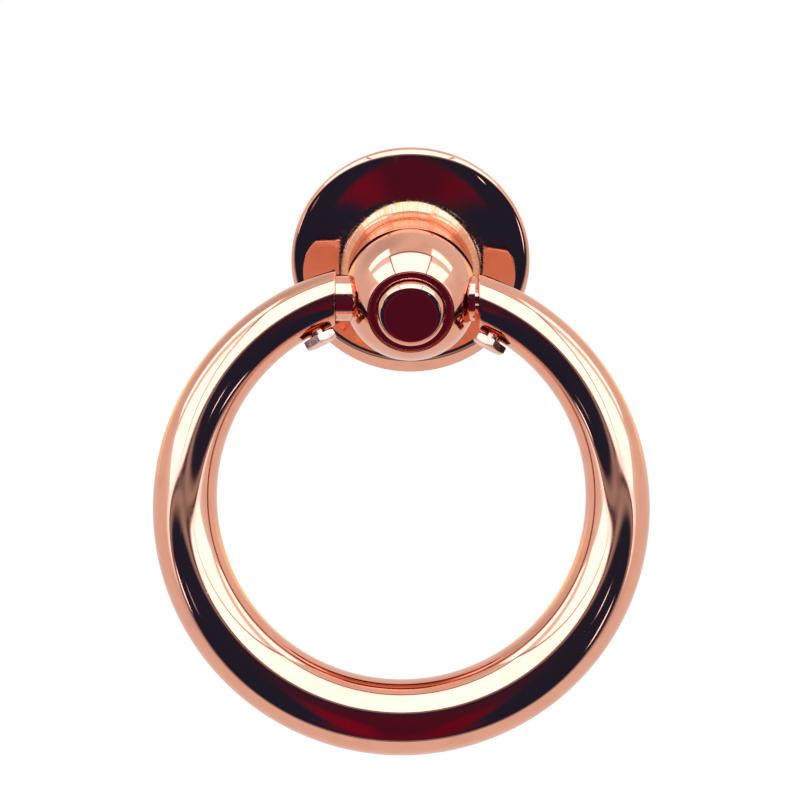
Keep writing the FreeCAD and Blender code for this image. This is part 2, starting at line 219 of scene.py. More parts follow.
class MeshRecipe:
    """Geometry Nodes tree that bends one grid of rows and columns into a closed surface.

    The rows run along the piece and the columns round it. Sizes are in millimetres.
    """

    WELD = 1e-4

    def __init__(self, name: str, rows: int, columns: int, sizes: dict[str, float]) -> None:
        """Start a tree with named inputs.

        Args:
            name: Tree's name.
            rows: Count of rows of points.
            columns: Count of faces round the piece.
            sizes: Named sizes, each of which becomes an input of the tree.
        """
        self.sizes = sizes
        self.tree = bpy.data.node_groups.new(name, "GeometryNodeTree")
        self.tree.is_modifier = True
        face = self.tree.interface
        face.new_socket(name="Geometry", in_out="OUTPUT", socket_type="NodeSocketGeometry")
        for size in sizes:
            face.new_socket(name=size, in_out="INPUT", socket_type="NodeSocketFloat")
        face.new_socket(name="Material", in_out="INPUT", socket_type="NodeSocketMaterial")
        self.inputs = self.tree.nodes.new("NodeGroupInput")
        plugs = {"Size X": 1.0, "Size Y": 1.0, "Vertices X": rows, "Vertices Y": columns + 1}
        self.grid = add_node(self.tree, "GeometryNodeMeshGrid", plugs).outputs["Mesh"]
        place = self.tree.nodes.new("GeometryNodeInputPosition")
        along, around, _ = split(self.tree, place.outputs[0])
        self.last = float(rows - 1)
        self.row = ((along + 0.5) * self.last).math("ROUND")
        self.turn = (around + 0.5) * math.tau

    def size(self, name: str) -> Field:
        """One of the tree's named sizes."""
        return Field(self.tree, self.inputs.outputs[name])

    def inner_share(self) -> Field:
        """0 up to the second row and 1 from the last but one, which leaves a row for each cap."""
        return ((self.row - 1.0) / (self.last - 2.0)).clamped()

    def caps_closed(self) -> Field:
        """0 on the first and last rows, whose points meet on the axis, and 1 between them."""
        return self.row.least(self.last - self.row).above(0.5)

    def tooth(self, height: Field, low: float, high: float) -> Field:
        """Height of a screw thread, 0 at its root and 1 at its crest.

        Args:
            height: Height along the screw.
            low: Share of half a pitch up to which the root is flat.
            high: Share from which the crest is flat.

        Returns:
            The thread's height.
        """
        phase = ((height / self.size("Pitch")) - (self.turn / math.tau)).math("FRACT")
        return (1.0 - ((phase * 2.0) - 1.0).math("ABSOLUTE")).ramp(low, high)

    def surface(self, x: Operand, y: Operand, z: Operand) -> Socket:
        """The grid with its points moved to the given places, and welded."""
        plugs = {"Geometry": self.grid, "Position": combine(self.tree, x, y, z)}
        moved = add_node(self.tree, "GeometryNodeSetPosition", plugs)
        plugs = {"Geometry": moved.outputs[0], "Distance": self.WELD}
        return add_node(self.tree, "GeometryNodeMergeByDistance", plugs).outputs[0]

    def transform(self, geometry: Socket, shift: tuple, rotation: tuple, scale: float = 1.0) -> Socket:
        """Scale, turn and move a surface by plain numbers."""
        plugs = {"Geometry": geometry, "Translation": shift, "Rotation": rotation}
        plugs["Scale"] = (scale, scale, scale)
        return add_node(self.tree, "GeometryNodeTransform", plugs).outputs[0]

    def bake(
        self, surface: Socket, piece: str, material: bpy.types.Material, sharp: float
    ) -> bpy.types.Object:
        """Close the tree, evaluate it once and keep its result as a plain mesh.

        Args:
            surface: Geometry socket of the piece, in metres.
            piece: Name of the new object.
            material: Finish of the piece.
            sharp: Angle between faces, in degrees, from which an edge stays sharp.

        Returns:
            The finished object, which has no modifier.
        """
        realized = add_node(self.tree, "GeometryNodeRealizeInstances", {0: surface})
        plugs = {"Geometry": realized.outputs[0], "Material": self.inputs.outputs["Material"]}
        dressed = add_node(self.tree, "GeometryNodeSetMaterial", plugs)
        add_node(self.tree, "NodeGroupOutput", {0: dressed.outputs[0]})

        holder = bpy.data.objects.new(piece + "_recipe", bpy.data.meshes.new(piece + "_recipe"))
        bpy.context.scene.collection.objects.link(holder)
        modifier = holder.modifiers.new("Recipe", "NODES")
        modifier.node_group = self.tree
        values = {**self.sizes, "Material": material}
        for item in self.tree.interface.items_tree:
            if item.in_out == "INPUT":
                modifier[item.identifier] = values[item.name]
        graph = bpy.context.evaluated_depsgraph_get()
        mesh = bpy.data.meshes.new_from_object(holder.evaluated_get(graph), depsgraph=graph)
        bpy.data.objects.remove(holder)
        return finish_mesh(mesh, piece, sharp)


def face_outwards(build: bmesh.types.BMesh) -> None:
    """Turn the faces of a closed mesh outwards."""
    bmesh.ops.recalc_face_normals(build, faces=build.faces)
    if build.calc_volume(signed=True) < 0:
        bmesh.ops.reverse_faces(build, faces=build.faces)


def finish_mesh(mesh: bpy.types.Mesh, piece: str, sharp: float) -> bpy.types.Object:
    """Close a mesh, turn it outwards, shade it and make it an object at the origin.

    Args:
        mesh: Mesh in metres, closed or a sleeve with two open rims, which are bridged.
        piece: Name of the new object.
        sharp: Angle in degrees from which an edge between faces stays sharp.

    Returns:
        The new object.
    """
    build = bmesh.new()
    build.from_mesh(mesh)
    bmesh.ops.remove_doubles(build, verts=build.verts, dist=1e-8)
    bmesh.ops.dissolve_degenerate(build, edges=build.edges, dist=1e-9)
    rims = [edge for edge in build.edges if edge.is_boundary]
    if rims:
        bmesh.ops.bridge_loops(build, edges=rims)
    face_outwards(build)
    open_edges = sum(1 for edge in build.edges if not edge.is_manifold)
    build.to_mesh(mesh)
    build.free()
    mesh.name = piece
    mesh.shade_smooth()
    mesh.set_sharp_from_angle(angle=math.radians(sharp))
    made = bpy.data.objects.new(piece, mesh)
    bpy.context.scene.collection.objects.link(made)
    log.info("%s: %d faces, %d open edges", piece, len(mesh.polygons), open_edges)
    return made


def join_meshes(name: str, parts: list[bpy.types.Object]) -> bpy.types.Object:
    """Join closed pieces into one object at the origin.

    Args:
        name: Name of the joined object.
        parts: Objects to join.

    Returns:
        The joined object.
    """
    with bpy.context.temp_override(
        active_object=parts[0],
        object=parts[0],
        selected_objects=parts,
        selected_editable_objects=parts,
    ):
        bpy.ops.object.join()
    parts[0].name = name
    parts[0].data.name = name
    return parts[0]


def arc(
    radius: float, height: float, size: float, start: float, end: float, steps: int
) -> Profile:
    """Points on an arc of a profile, from one angle to another.

    Args:
        radius: Radius at the arc's middle.
        height: Height at the arc's middle.
        size: The arc's own radius.
        start: First angle in degrees, 0 outwards and 90 upwards.
        end: Last angle in degrees.
        steps: Count of segments.

    Returns:
        The points, both ends included.
    """
    angles = (math.radians(start + (end - start) * step / steps) for step in range(steps + 1))
    return [(radius + size * math.cos(angle), height + size * math.sin(angle)) for angle in angles]


def lathe(
    name: str, profile: Profile, columns: int, axis: str, sign: int = 1, reach: float = 0.0
) -> bpy.types.Object:
    """Turn a profile that starts and ends on its axis into a closed object.

    Args:
        name: The object's name.
        profile: Radii and heights in millimetres.
        columns: Count of faces round the axis.
        axis: Y for a height that runs towards the viewer's side, X for one that runs sideways.
        sign: Direction of the height along X.
        reach: Distance of the X axis in front of the wall.

    Returns:
        The closed object in metres.
    """
    tidy = [profile[0]]
    for point in profile[1:]:
        if math.dist(point, tidy[-1]) > 1e-4:
            tidy.append(point)
    places, rings = [], []
    for radius, height in tidy:
        ring = []
        for column in range(1 if radius == 0.0 else columns):
            turn = math.tau * column / columns
            across, up = radius * math.cos(turn), radius * math.sin(turn)
            if axis == "Y":
                place = (across, -height, up)
            else:
                place = (sign * height, across - reach, up)
            ring.append(len(places))
            places.append(tuple(part * MM for part in place))
        rings.append(ring)
    faces = []
    for lower, upper in zip(rings, rings[1:]):
        for column in range(columns):
            after = (column + 1) % columns
            if len(lower) == 1:
                faces.append((lower[0], upper[after], upper[column]))
            elif len(upper) == 1:
                faces.append((lower[column], lower[after], upper[0]))
            else:
                faces.append((lower[column], lower[after], upper[after], upper[column]))
    return closed_object(name, places, faces)


def closed_object(name: str, places: list[tuple], faces: list[tuple]) -> bpy.types.Object:
    """Object of a closed mesh whose faces are turned outwards.

    Args:
        name: The object's name.
        places: Points in metres.
        faces: Indices of each face's points.

    Returns:
        The new object.
    """
    mesh = bpy.data.meshes.new(name)
    mesh.from_pydata(places, [], faces)
    build = bmesh.new()
    build.from_mesh(mesh)
    face_outwards(build)
    build.to_mesh(mesh)
    build.free()
    made = bpy.data.objects.new(name, mesh)
    bpy.context.scene.collection.objects.link(made)
    return made


def carve(blank: bpy.types.Object, cutters: list[bpy.types.Object]) -> bpy.types.Mesh:
    """Cut closed cutters out of a closed blank, and remove them all.

    Args:
        blank: Object to cut.
        cutters: Objects to subtract.

    Returns:
        The carved mesh.
    """
    for cutter in cutters:
        cut = blank.modifiers.new(cutter.name, "BOOLEAN")
        cut.operation = "DIFFERENCE"
        cut.solver = "EXACT"
        cut.object = cutter
    graph = bpy.context.evaluated_depsgraph_get()
    mesh = bpy.data.meshes.new_from_object(blank.evaluated_get(graph), depsgraph=graph)
    for used in (blank, *cutters):
        bpy.data.objects.remove(used)
    return mesh


# ---------------------------------------------------------------- finishes


class Effects:
    """Shader node groups that several finishes share, each built once."""

    HAIRLINE_TURNS = ((0.3, 0.5, 0.1), (1.2, 0.2, 0.9), (2.1, 1.4, 0.4))
    HAIRLINE_STRETCH = (1.0, 1.0, 0.035)
    HAIRLINE_SHIFT = 0.013

    def __init__(self) -> None:
        """Build every group."""
        self.polish = self._polish()
        self.hairlines = self._hairlines()
        self.flare_marks = self._flare_marks()

    @staticmethod
    def _group(name: str, inputs: dict[str, float], outputs: list[str]) -> tuple:
        """Empty group with a Coordinates input, named numbers and named results.

        Args:
            name: Group's name.
            inputs: Named numbers with their defaults.
            outputs: Names of the results.

        Returns:
            The tree, the sockets that it is given and the sockets of its results.
        """
        tree = bpy.data.node_groups.new(name, "ShaderNodeTree")
        face = tree.interface
        face.new_socket(name="Coordinates", in_out="INPUT", socket_type="NodeSocketVector")
        for label, default in inputs.items():
            socket = face.new_socket(name=label, in_out="INPUT", socket_type="NodeSocketFloat")
            socket.default_value = default
        for label in outputs:
            face.new_socket(name=label, in_out="OUTPUT", socket_type="NodeSocketFloat")
        given = tree.nodes.new("NodeGroupInput").outputs
        return tree, given, tree.nodes.new("NodeGroupOutput").inputs

    def _polish(self) -> Tree:
        """Long soft waves that hand polishing leaves, and where it left the surface duller."""
        tree, given, result = self._group("polish_waves", {"Scale": 160.0}, ["Height", "Dullness"])
        scale = Field(tree, given["Scale"])
        waves = noise(tree, given["Coordinates"], scale, 1.5)
        dull = noise(tree, given["Coordinates"], scale * 2.3, 4.0)
        plug(tree, waves, result["Height"])
        plug(tree, dull.ramp(0.42, 0.72), result["Dullness"])
        return tree

    def _hairlines(self) -> Tree:
        """Sparse hair-thin scratches in three directions."""
        inputs = {"Scale": 900.0, "Sparsity": 0.7}
        tree, given, result = self._group("hairline_scratches", inputs, ["Mask"])
        scale = Field(tree, given["Scale"])
        total = None
        for number, turn in enumerate(self.HAIRLINE_TURNS):
            plugs = {
                "Vector": given["Coordinates"],
                "Rotation": turn,
                "Scale": self.HAIRLINE_STRETCH,
                "Location": (self.HAIRLINE_SHIFT * number, 0.0, 0.0),
            }
            stretched = add_node(tree, "ShaderNodeMapping", plugs).outputs[0]
            mask = noise(tree, stretched, scale, 1.0).ramp(0.70, 0.78)
            total = mask if total is None else total.most(mask)
        gate = noise(tree, given["Coordinates"], 140.0, 2.0)
        strength = (gate - (Field(tree, given["Sparsity"]) * 0.6)).ramp(0.0, 0.2)
        plug(tree, total * strength, result["Mask"])
        return tree

    def _flare_marks(self) -> Tree:
        """Radial brush marks about the Y axis, between two radii in front of the wall."""
        inputs = {"Inner Radius": 0.0083, "Outer Radius": 0.0112}
        tree, given, result = self._group("flare_marks", inputs, ["Height", "Mask"])
        x, y, z = split(tree, given["Coordinates"])
        radius = ((x * x) + (z * z)).math("SQRT")
        spread = radius.most(1e-5)
        spokes = combine(tree, x / spread, radius * 26.0, z / spread)
        marks = noise(tree, spokes, 30.0, 3.0)
        inner = Field(tree, given["Inner Radius"])
        outer = Field(tree, given["Outer Radius"])
        share = (radius - inner) / (outer - inner)
        band = share.ramp(-0.3, 0.1) * share.ramp(1.2, 0.5)
        band = band * y.ramp(-0.0078, -0.0062) * y.ramp(-0.0006, -0.0012)
        plug(tree, (marks - 0.5) * band, result["Height"])
        # This mask also sets where the finish paints an orange reflection of the ball over the flare;
        # the marks' height and roughness are real.
        plug(tree, marks.ramp(0.42, 0.62) * band, result["Mask"])
        return tree


@dataclass(frozen=True)
class Finish:
    """Plated metal surface, from mirror polish to satin.

    Attributes:
        name: Material's name.
        slot: The record's material slot that it belongs to. It is not used.
        colour: Linear colour of the plating.
        deep_colour: Linear colour where the plating is a little thicker.
        roughness: Lowest and highest roughness.
        wave_scale: Size of the polishing waves, as waves in a metre.
        wave_height: Height of the polishing waves in metres.
        scratch_height: Depth of the hairline scratches in metres.
        flare_height: Height of the radial brush marks in metres, or 0 for none.
        painted_reflection_colour: Linear orange colour painted among the brush marks on the flare, a
            painted reflection of the ball rather than a colour of the plating.
        scratch_roughness: Roughness that a scratch adds.
        flare_roughness: Roughness that a brush mark adds.
        painted_reflection_share: How much of the painted reflection colour shows in a brush mark.
    """

    name: str
    slot: str
    colour: Colour
    deep_colour: Colour
    roughness: tuple[float, float]
    wave_scale: float
    wave_height: float
    scratch_height: float
    flare_height: float = 0.0
    # Painted reflection: this orange and its share below stand in for the ball's reflection among the
    # flare's brush marks.
    painted_reflection_colour: Colour = (0.86, 0.30, 0.10)
    scratch_roughness: float = 0.08
    flare_roughness: float = 0.16
    painted_reflection_share: float = 0.75

    def material(self, effects: Effects) -> bpy.types.Material:
        """Build the material.

        Args:
            effects: The shared node groups.

        Returns:
            The new material.
        """
        made = bpy.data.materials.new(self.name)
        made.use_nodes = True
        tree = made.node_tree
        shader = tree.nodes["Principled BSDF"].inputs
        shader["Metallic"].default_value = 1.0
        place = tree.nodes.new("ShaderNodeTexCoord").outputs["Object"]

        polish = self._place(tree, effects.polish, place, {"Scale": self.wave_scale})
        scratch = self._place(tree, effects.hairlines, place, {})["Mask"]
        height = (polish["Height"] * self.wave_height) - (scratch * self.scratch_height)
        low, high = self.roughness
        rough = (polish["Dullness"] * (high - low)) + (scratch * self.scratch_roughness) + low
        colour = blend(tree, polish["Dullness"], self.colour, self.deep_colour)
        if self.flare_height:
            flare = self._place(tree, effects.flare_marks, place, {})
            height = height + (flare["Height"] * self.flare_height)
            rough = rough + (flare["Mask"] * self.flare_roughness)
            # Painted reflection: the brush marks on the flare are tinted orange, standing in for the
            # ball's reflection in the flare.
            colour = blend(tree, flare["Mask"] * self.painted_reflection_share, colour, self.painted_reflection_colour)
        bump = add_node(tree, "ShaderNodeBump", {"Strength": 1.0, "Distance": 1.0, "Height": height})
        plug(tree, colour, shader["Base Color"])
        plug(tree, rough, shader["Roughness"])
        plug(tree, bump.outputs[0], shader["Normal"])
        return made

    @staticmethod
    def _place(tree: Tree, group: Tree, place: Socket, values: dict[str, float]) -> dict[str, Field]:
        """Put a shared group into a material with its own values.

        Args:
            tree: The material's tree.
            group: The shared group.
            place: Socket of the coordinates.
            values: The group's named numbers that differ from their defaults.

        Returns:
            The group's results by name.
        """
        node = tree.nodes.new("ShaderNodeGroup")
        node.node_tree = group
        for label, operand in {"Coordinates": place, **values}.items():
            plug(tree, operand, node.inputs[label])
        return {output.name: Field(tree, output) for output in node.outputs}


ROSE_GOLD = (0.84, 0.40, 0.275)
DEEP_ROSE_GOLD = (0.80, 0.365, 0.245)

CASTING_FINISH = Finish(
    name="mirror_rose_gold_casting",
    slot="polished_rose_gold",
    colour=ROSE_GOLD,
    deep_colour=DEEP_ROSE_GOLD,
    roughness=(0.035, 0.07),
    wave_scale=170.0,
    wave_height=5e-6,
    scratch_height=3e-7,
    flare_height=2.6e-5,
)
RING_FINISH = Finish(
    name="mirror_rose_gold_ring",
    slot="polished_rose_gold",
    colour=ROSE_GOLD,
    deep_colour=DEEP_ROSE_GOLD,
    roughness=(0.045, 0.085),
    wave_scale=130.0,
    wave_height=7e-6,
    scratch_height=3e-7,
)
PIN_FINISH = Finish(
    name="turned_rose_gold",
    slot="polished_pin",
    colour=(0.84, 0.42, 0.30),
    deep_colour=(0.78, 0.36, 0.25),
    roughness=(0.08, 0.16),
    wave_scale=300.0,
    wave_height=2e-6,
    scratch_height=5e-7,
)
SCREW_FINISH = Finish(
    name="satin_rose_gold",
    slot="plated_screw",
    colour=(0.82, 0.44, 0.34),
    deep_colour=(0.72, 0.36, 0.27),
    roughness=(0.20, 0.32),
    wave_scale=420.0,
    wave_height=6e-6,
    scratch_height=8e-7,
)


# ---------------------------------------------------------------- the handle


class Side(Enum):
    """Side of the handle, as the sign of its X."""

    LEFT = -1
    RIGHT = 1


@dataclass
class RingHang:
    """How the ring and what it carries hang from the pins, in millimetres and degrees."""

    pivot_reach: float = 15.0
    side_play: float = 0.5
    swing: float = 29.5

    def apply(self, recipe: MeshRecipe, surface: Socket) -> Socket:
        """Take a surface from the ring's own plane to its place, in metres."""
        shift = (-self.side_play * MM, -self.pivot_reach * MM, 0.0)
        return recipe.transform(surface, shift, (-math.radians(self.swing), 0.0, 0.0), MM)


@dataclass
class PullRing:
    """Open ring, thick at the bottom and slim at its two ends, in millimetres."""

    hang: RingHang
    circle_radius: float = 29.68
    tube_radius: float = 4.415
    swell: float = 0.79
    half_gap: float = 9.81
    gap_off_centre: float = 0.8
    pin_above_middle: float = 0.2
    end_round: float = 0.3
    pin_hole_radius: float = 1.14
    pin_hole_depth: float = 4.8
    rows_along: int = 420
    round_rows: int = 7
    hole_rows: int = 3
    columns: int = 108
    sharp: float = 40.0

    @property
    def drop(self) -> float:
        """Distance from the pins down to the middle of the ring's circle."""
        return math.sqrt(self.circle_radius**2 - self.half_gap**2) + self.pin_above_middle

    def inner_wall(self, angle: float) -> float:
        """Distance from the circle's middle to the ring's inner side at an angle from the top."""
        return self.circle_radius - self.tube_radius + self.swell * math.cos(angle)

    def build(self, material: bpy.types.Material) -> bpy.types.Object:
        """Build the ring with its rounded ends and blind pin holes.

        Args:
            material: Finish of the ring.

        Returns:
            The ring's object.
        """
        end_rows = self.hole_rows + self.round_rows
        sizes = {
            "Circle Radius": self.circle_radius,
            "Tube Radius": self.tube_radius,
            "Swell": self.swell,
            "Half Gap": self.half_gap,
            "Off Centre": self.gap_off_centre,
            "Drop": self.drop,
            "End Round": self.end_round,
            "Hole Radius": self.pin_hole_radius,
            "Hole Depth": self.pin_hole_depth,
        }
        rows = self.rows_along + 2 * end_rows
        recipe = MeshRecipe("tapered_ring", rows, self.columns, sizes)
        row, last, turn, size = recipe.row, recipe.last, recipe.turn, recipe.size
        circle, tube, swell = size("Circle Radius"), size("Tube Radius"), size("Swell")
        gap, edge, off_centre = size("Half Gap"), size("End Round"), size("Off Centre")
        from_end = row.least(last - row)
        side = row.below(last / 2).choose(1.0, -1.0)

        rounding = ((from_end * -1.0) + float(end_rows)) / float(self.round_rows)
        rounding = rounding.clamped() * (math.pi / 2)
        plane = gap + (edge * (1.0 - rounding.math("SINE")))
        shrink = edge * (1.0 - rounding.math("COSINE"))
        lean = turn.math("COSINE")

        def end_angle(across: Field) -> Field:
            """Angle at which the tube's skin meets the plane that closes the end."""
            angle = (across / circle).math("ARCSINE")
            for _ in range(3):
                skin = tube - (swell * angle.math("COSINE"))
                angle = (across / (circle + (skin * lean))).math("ARCSINE")
            return angle

        start = end_angle(plane + off_centre)
        stop = end_angle(plane - off_centre)
        share = ((row - float(end_rows)) / (last - 2.0 * end_rows)).clamped()
        angle = (start * (1.0 - share)) + ((math.tau - stop) * share)
        skin = tube - (swell * angle.math("COSINE")) - shrink
        reach = circle + (skin * lean)
        hole = from_end.below(self.hole_rows - 0.5)
        hole_radius = size("Hole Radius") * from_end.above(0.5)
        hole_face = side * (gap + (size("Hole Depth") * from_end.below(1.5)))
        x = hole.choose(hole_face, (reach * angle.math("SINE")) - off_centre)
        y = hole.choose(hole_radius, skin) * turn.math("SINE")
        z = hole.choose(hole_radius * lean, (reach * angle.math("COSINE")) - size("Drop"))
        placed = self.hang.apply(recipe, recipe.surface(x, y, z))
        ring = recipe.bake(placed, "pull_ring_polished", material, self.sharp)
        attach(ring, "ring")
        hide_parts("pull_ring")
        return ring


@dataclass
class ClampScrew:
    """Hex-head screw on the inner side of one ring end, in millimetres and degrees."""

    side: Side
    turn: float
    ring: PullRing
    inset: float = 5.0
    across_flats: float = 4.4
    head_height: float = 1.15
    standoff: float = 0.5
    crest_radius: float = 1.25
    root_radius: float = 0.98
    pitch: float = 0.45
    pin_radius: float = 1.1
    face_radius: float = 2.05
    bearing_margin: float = 0.35
    chamfer_run: float = 1.7
    plain_length: float = 0.7
    sunk: float = 0.15
    rows_per_pitch: int = 10
    head_rows: int = 26
    shank_columns: int = 40
    head_columns: int = 144

    @property
    def angle(self) -> float:
        """Angle of the screw's axis from the top of the ring's circle, in radians."""
        sign = self.side.value
        across = self.ring.half_gap + self.inset + sign * self.ring.gap_off_centre
        return sign * math.atan(across / self.ring.drop)

    def build(self, material: bpy.types.Material) -> bpy.types.Object:
        """Build the head and the threaded shank as one piece.

        Args:
            material: Finish of the screw.

        Returns:
            The screw's object.
        """
        head_top = self.ring.inner_wall(self.angle) - self.standoff
        tip_drop = self.pin_radius + self.crest_radius * math.sin(abs(self.angle))
        length = (self.ring.drop - tip_drop) / math.cos(self.angle) - head_top
        name = f"clamp_screw_{self.side.name.lower()}"
        rows = 4 + self.rows_per_pitch * round(length / self.pitch)
        sizes = {
            "Length": length,
            "Crest": self.crest_radius,
            "Root": self.root_radius,
            "Pitch": self.pitch,
        }
        recipe = MeshRecipe("thread_" + name, rows, self.shank_columns, sizes)
        placed = self._set(recipe, self._shank(recipe), head_top)
        shank = recipe.bake(placed, name + "_shank", material, 50.0)

        sizes = {
            "Apothem": self.across_flats / 2,
            "Height": self.head_height,
            "Face Radius": self.face_radius,
            "Turn": math.radians(self.turn),
        }
        recipe = MeshRecipe("hex_" + name, self.head_rows, self.head_columns, sizes)
        placed = self._set(recipe, self._head(recipe), head_top)
        head = recipe.bake(placed, name + "_head", material, 24.0)

        screw = join_meshes(name + "_threaded", [head, shank])
        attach(screw, "ring")
        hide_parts(name)
        return screw

    def _set(self, recipe: MeshRecipe, surface: Socket, head_top: float) -> Socket:
        """Stand a surface that rises along +Z on its radius of the ring, and hang it.

        Args:
            recipe: The surface's tree.
            surface: Geometry socket to place.
            head_top: Distance of the head's bearing side from the circle's middle.

        Returns:
            The placed geometry.
        """
        across = head_top * math.sin(self.angle) - self.ring.gap_off_centre
        shift = (across, 0.0, head_top * math.cos(self.angle) - self.ring.drop)
        leaning = recipe.transform(surface, shift, (0.0, self.angle, 0.0))
        return self.ring.hang.apply(recipe, leaning)

    def _shank(self, recipe: MeshRecipe) -> Socket:
        """Rod from inside the head to the pin, plain at first, with a thread and a tapered tip."""
        share = recipe.inner_share()
        height = (share * (recipe.size("Length") + self.sunk)) - self.sunk
        tooth = recipe.tooth(height, 0.18, 0.82).most(height.below(self.plain_length))
        depth = recipe.size("Crest") - recipe.size("Root")
        taper = ((1.0 - share) * 9.0).clamped()
        radius = (recipe.size("Root") - (depth * 0.3)) + (depth * taper * (0.3 + tooth))
        radius = radius.least(recipe.size("Crest")) * recipe.caps_closed()
        sine, cosine = recipe.turn.math("SINE"), recipe.turn.math("COSINE")
        return recipe.surface(radius * cosine, radius * sine, height)

    def _head(self, recipe: MeshRecipe) -> Socket:
        """Hexagon with a turned chamfer round its outer face, which looks towards -Z."""
        share = recipe.inner_share()
        eased = 1.0 - ((1.0 - share) * (1.0 - share))
        height, face = recipe.size("Height"), recipe.size("Face Radius")
        sector = ((recipe.turn + (math.pi / 6)) / (math.pi / 3)).math("FRACT")
        sector = (sector - 0.5) * (math.pi / 3)
        flat = recipe.size("Apothem") / sector.math("COSINE")
        cone = face + (height * (1.0 - eased) * self.chamfer_run)
        under = face + self.bearing_margin + (height * eased * self.chamfer_run)
        radius = flat.least(cone).least(under) * recipe.caps_closed()
        bearing = recipe.turn + recipe.size("Turn") + (math.pi / 6)
        x, y = radius * bearing.math("COSINE"), radius * bearing.math("SINE")
        return recipe.surface(x, y, eased * height * -1.0)


@dataclass
class FixingThread:
    """Fine thread on the wall of the fixing bore, in millimetres."""

    wall_radius: float = 1.66
    crest_radius: float = 1.585
    sleeve: float = 0.012
    pitch: float = 0.7
    first: float = 0.55
    last: float = 9.6
    run_out: float = 12.0
    rows_per_pitch: int = 10
    columns: int = 56

    def build(self, material: bpy.types.Material) -> bpy.types.Object:
        """Build the thread as a thin sleeve with a screwed inner side.

        Args:
            material: Finish of the bore.

        Returns:
            The thread's object.
        """
        turns = (self.last - self.first) / self.pitch
        sizes = {
            "Wall": self.wall_radius,
            "Crest": self.crest_radius,
            "Pitch": self.pitch,
            "First": self.first,
            "Last": self.last,
        }
        rows = round(turns * self.rows_per_pitch) + 4
        recipe = MeshRecipe("fixing_thread", rows, self.columns, sizes)
        share = recipe.inner_share()
        reach = recipe.size("First") + (share * (recipe.size("Last") - recipe.size("First")))
        wall = recipe.size("Wall")
        fade = (share * self.run_out).clamped() * ((1.0 - share) * self.run_out).clamped()
        height = (wall - recipe.size("Crest")) * recipe.tooth(reach, 0.2, 0.8) * fade
        crest = wall - self.sleeve - height
        radius = recipe.caps_closed().choose(crest, wall)
        x, z = radius * recipe.turn.math("COSINE"), radius * recipe.turn.math("SINE")
        sleeve = recipe.surface(x, reach * -1.0, z)
        placed = recipe.transform(sleeve, (0.0, 0.0, 0.0), (0.0, 0.0, 0.0), MM)
        thread = recipe.bake(placed, "fixing_bore_thread", material, 50.0)
        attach(thread, "base")
        return thread


